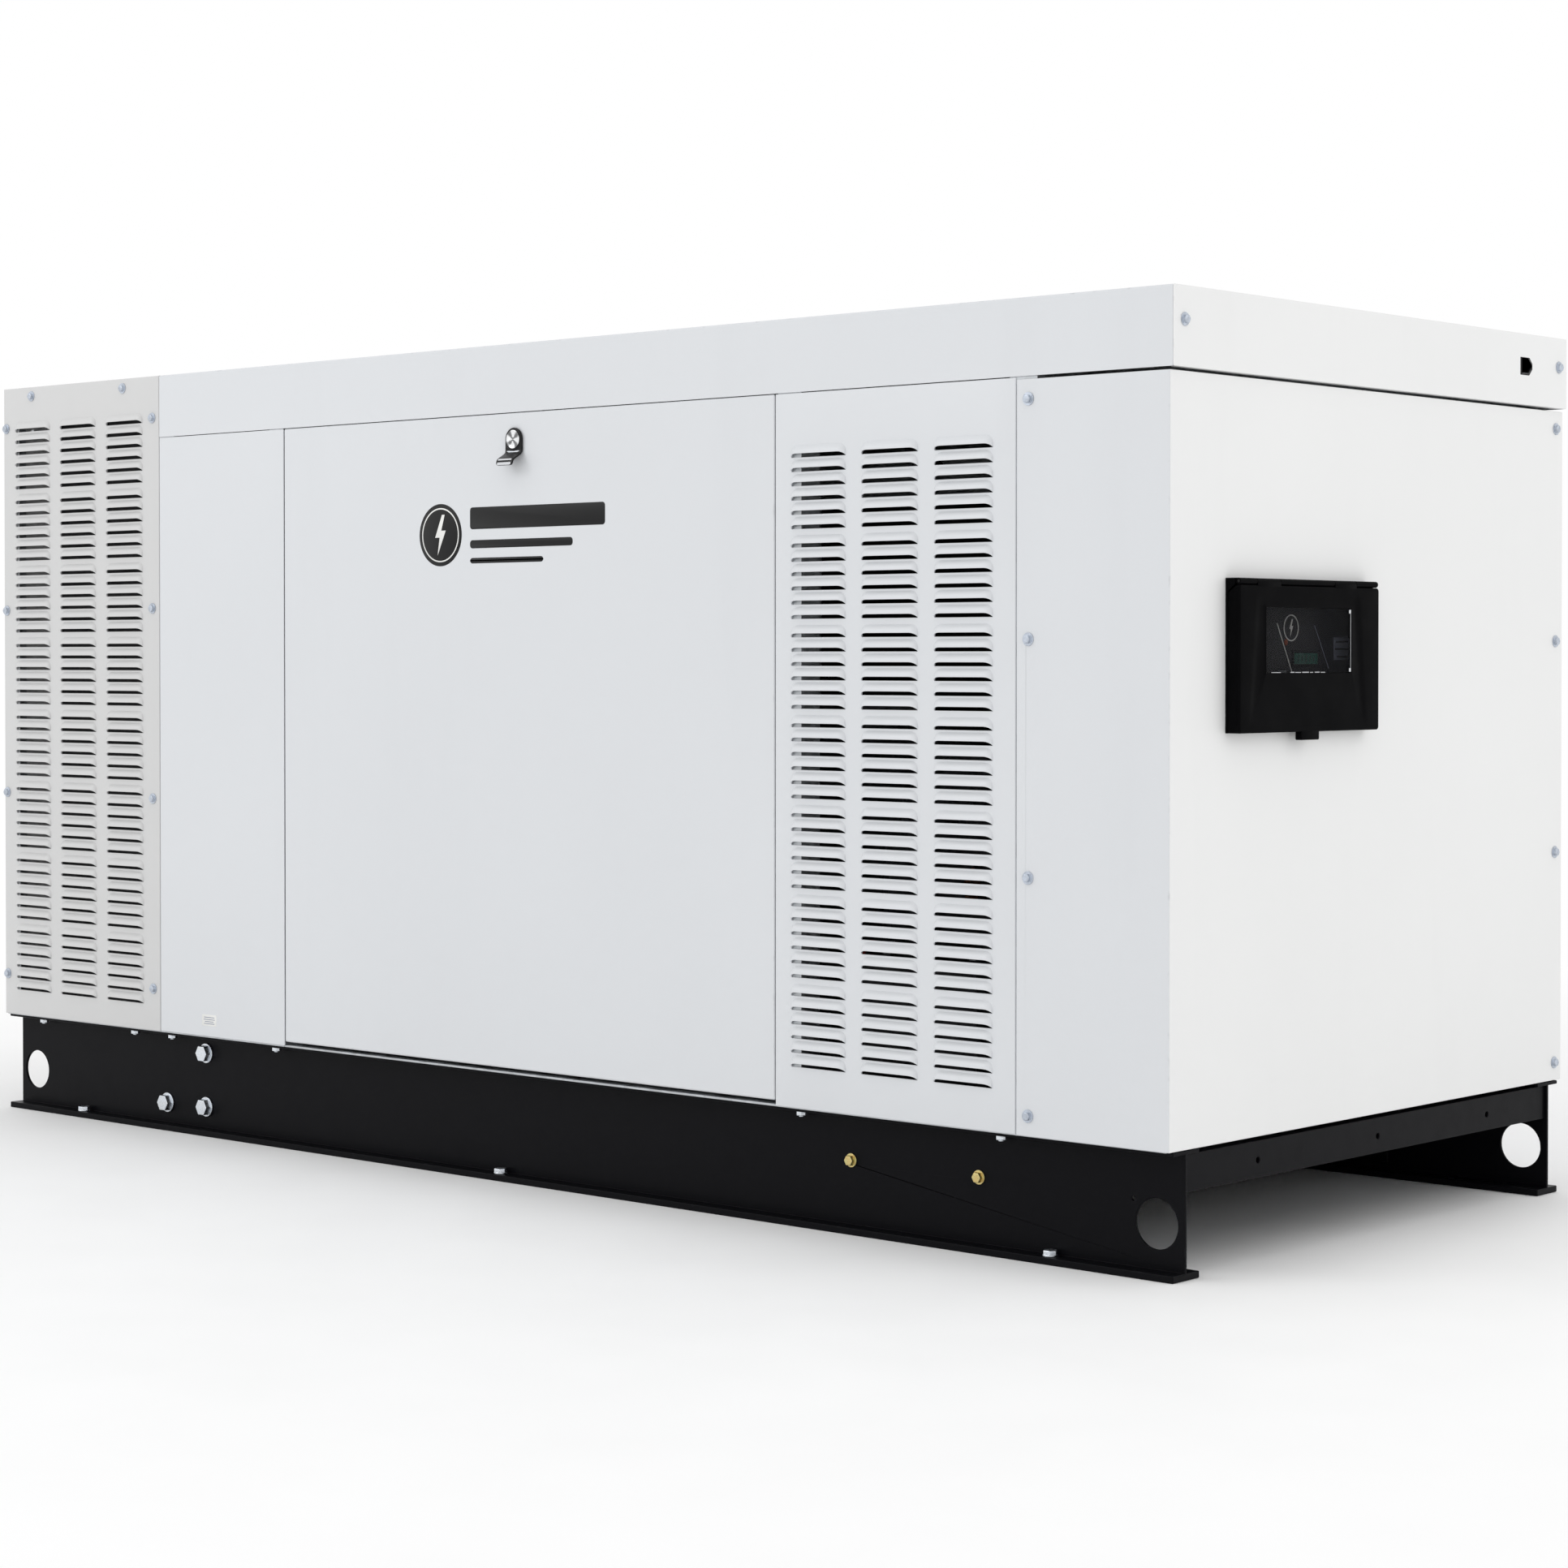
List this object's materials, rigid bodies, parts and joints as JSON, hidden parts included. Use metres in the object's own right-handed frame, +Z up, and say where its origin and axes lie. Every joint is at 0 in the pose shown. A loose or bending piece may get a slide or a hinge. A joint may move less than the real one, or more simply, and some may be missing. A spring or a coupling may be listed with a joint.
{
  "type": "home standby generator",
  "caption": "Long white sheet steel enclosure on black lifting rails, with louvred sides, lift-off doors, a lidded controller, and an engine and alternator set inside.",
  "frame": {"origin": "centre of the anchor hole pattern, on the plane of the underside of the rails", "axes": "+X along the length towards the controller end, -Y towards the front with the pictured door, +Z up"},
  "size_m": [2.436, 1.013, 1.2195],
  "materials": {
    "enclosure_white": "fine-texture powder coat",
    "end_white": "fine-texture powder coat",
    "bay_grey": "fine-texture powder coat",
    "base_black": "satin powder coat",
    "galvanised": "zinc coated sheet",
    "zinc": "bright zinc plate",
    "yellow_zinc": "yellow zinc plate",
    "seal_rubber": "matt foam rubber",
    "latch_black": "black powder coat",
    "key_chrome": "polished chrome",
    "box_plastic": "moulded, fine grain",
    "window_smoke": "tinted clear pane",
    "controller_plastic": "moulded, satin",
    "key_green": "soft key",
    "key_red": "soft key",
    "key_blue": "soft key",
    "key_grey": "soft key",
    "engine_iron": "painted casting",
    "cast_aluminium": "as cast",
    "black_enamel": "gloss enamel",
    "cap_plastic": "moulded",
    "dipstick_yellow": "moulded",
    "airbox_plastic": "moulded",
    "aluminised_steel": "heat stained",
    "machined_steel": "machined",
    "winding_copper": "varnished windings",
    "alternator_grey": "satin enamel",
    "mount_rubber": "moulded rubber",
    "radiator_aluminium": "brazed core",
    "fan_plastic": "moulded nylon",
    "belt_rubber": "ribbed belt",
    "hose_rubber": "cloth marked hose",
    "battery_plastic": "moulded case",
    "cabinet_grey": "powder coat"
  },
  "bodies": {
    "root": {"base_rails": "base_black", "crossmembers": "base_black", "floor_pan": "galvanised", "base_bolts": "zinc", "earth_bolts": "yellow_zinc", "roof_panel": "enclosure_white", "roof_end_cap": "end_white", "discharge_top": "enclosure_white", "discharge_side_panels": "bay_grey", "discharge_end_panel": "bay_grey", "plain_side_panels": "enclosure_white", "intake_panels": "enclosure_white", "end_panel": "end_white", "inner_frame": "galvanised", "door_seals": "seal_rubber", "panel_screws": "zinc", "control_box": "box_plastic", "lid_hinge_pin": "zinc", "controller_body": "controller_plastic", "engine_block": "engine_iron", "cylinder_head": "cast_aluminium", "oil_pan": "black_enamel", "air_cleaner": "airbox_plastic", "exhaust_system": "aluminised_steel", "alternator_stator": "alternator_grey", "starter_and_filter": "black_enamel", "engine_mounts": "mount_rubber", "radiator": "radiator_aluminium", "coolant_hoses": "hose_rubber", "fan_shroud": "airbox_plastic", "charge_alternator": "cast_aluminium", "drive_belt": "belt_rubber", "fuel_line": "black_enamel", "battery": "battery_plastic", "breaker_box": "cabinet_grey"},
    "front_door": {"front_door": "enclosure_white", "front_latch_body": "latch_black"},
    "rear_door": {"rear_door": "enclosure_white", "rear_latch_body": "latch_black"},
    "front_handle": {"front_latch_handle": "latch_black"},
    "rear_handle": {"rear_latch_handle": "latch_black"},
    "front_key": {"front_key_plug": "key_chrome"},
    "rear_key": {"rear_key_plug": "key_chrome"},
    "lid": {"control_lid": "box_plastic", "lid_window": "window_smoke"},
    "auto_key": {"key_auto": "key_green"},
    "off_key": {"key_off": "key_red"},
    "manual_key": {"key_manual": "key_blue"},
    "escape_key": {"key_escape": "key_grey"},
    "up_key": {"key_up": "key_grey"},
    "down_key": {"key_down": "key_grey"},
    "enter_key": {"key_enter": "key_grey"},
    "crank": {"crankshaft": "machined_steel", "alternator_rotor": "winding_copper"},
    "fan": {"cooling_fan": "fan_plastic"},
    "charge_rotor": {"charge_pulley": "machined_steel"},
    "oil_cap": {"oil_cap": "cap_plastic"},
    "radiator_cap": {"radiator_cap": "machined_steel"},
    "dipstick": {"dipstick": "dipstick_yellow"},
    "breaker_toggle": {"breaker_lever": "cap_plastic"}
  },
  "joints": [
    {"name": "front_door_tilt", "type": "hinge", "parent": "root", "child": "front_door", "pos_m": [0.045, -0.4825, 0.1684], "axis": [1, 0, 0], "range_deg": [0, 32]},
    {"name": "rear_door_tilt", "type": "hinge", "parent": "root", "child": "rear_door", "pos_m": [0.045, 0.4825, 0.1684], "axis": [-1, 0, 0], "range_deg": [0, 32]},
    {"name": "front_handle_turn", "type": "hinge", "parent": "front_door", "child": "front_handle", "pos_m": [0.052, -0.4825, 1.0805], "axis": [0, 1, 0], "range_deg": [0, 90]},
    {"name": "rear_handle_turn", "type": "hinge", "parent": "rear_door", "child": "rear_handle", "pos_m": [0.052, 0.4825, 1.0805], "axis": [0, 1, 0], "range_deg": [0, 90]},
    {"name": "front_key_turn", "type": "hinge", "parent": "front_handle", "child": "front_key", "pos_m": [0.052, -0.4825, 1.0805], "axis": [0, 1, 0], "range_deg": [0, 90]},
    {"name": "rear_key_turn", "type": "hinge", "parent": "rear_handle", "child": "rear_key", "pos_m": [0.052, 0.4825, 1.0805], "axis": [0, 1, 0], "range_deg": [0, 90]},
    {"name": "lid_lift", "type": "hinge", "parent": "root", "child": "lid", "pos_m": [1.222, -0.203, 0.8605], "axis": [0, -1, 0], "range_deg": [0, 110]},
    {"name": "auto_key_press", "type": "slide", "parent": "root", "child": "auto_key", "axis": [-1, 0, 0], "range_m": [0, 0.0015], "stiffness_N_per_m": 600},
    {"name": "off_key_press", "type": "slide", "parent": "root", "child": "off_key", "axis": [-1, 0, 0], "range_m": [0, 0.0015], "stiffness_N_per_m": 600},
    {"name": "manual_key_press", "type": "slide", "parent": "root", "child": "manual_key", "axis": [-1, 0, 0], "range_m": [0, 0.0015], "stiffness_N_per_m": 600},
    {"name": "escape_key_press", "type": "slide", "parent": "root", "child": "escape_key", "axis": [-1, 0, 0], "range_m": [0, 0.0015], "stiffness_N_per_m": 600},
    {"name": "up_key_press", "type": "slide", "parent": "root", "child": "up_key", "axis": [-1, 0, 0], "range_m": [0, 0.0015], "stiffness_N_per_m": 600},
    {"name": "down_key_press", "type": "slide", "parent": "root", "child": "down_key", "axis": [-1, 0, 0], "range_m": [0, 0.0015], "stiffness_N_per_m": 600},
    {"name": "enter_key_press", "type": "slide", "parent": "root", "child": "enter_key", "axis": [-1, 0, 0], "range_m": [0, 0.0015], "stiffness_N_per_m": 600},
    {"name": "crank_spin", "type": "hinge", "parent": "root", "child": "crank", "pos_m": [0, 0, 0.43], "axis": [1, 0, 0], "continuous": true},
    {"name": "fan_spin", "type": "hinge", "parent": "root", "child": "fan", "pos_m": [-0.665, 0, 0.59], "axis": [1, 0, 0], "continuous": true},
    {"name": "charge_pulley_spin", "type": "hinge", "parent": "root", "child": "charge_rotor", "pos_m": [-0.59, -0.2, 0.56], "axis": [1, 0, 0], "continuous": true},
    {"name": "oil_cap_turn", "type": "hinge", "parent": "root", "child": "oil_cap", "pos_m": [-0.18, 0.03, 0.8], "axis": [0, 0, 1], "range_deg": [0, 90]},
    {"name": "radiator_cap_turn", "type": "hinge", "parent": "root", "child": "radiator_cap", "pos_m": [-0.746, 0.2, 1.03], "axis": [0, 0, 1], "range_deg": [0, 90]},
    {"name": "dipstick_pull", "type": "slide", "parent": "root", "child": "dipstick", "axis": [0, 0, 1], "range_m": [0, 0.3]},
    {"name": "breaker_switch", "type": "hinge", "parent": "root", "child": "breaker_toggle", "pos_m": [0.81, 0.184, 0.53], "axis": [-1, 0, 0], "range_deg": [0, 40]}
  ],
  "couplings": [
    {"joint": "fan_spin", "follows": "crank_spin", "ratio": 1.1538},
    {"joint": "charge_pulley_spin", "follows": "crank_spin", "ratio": 2.1429}
  ]
}
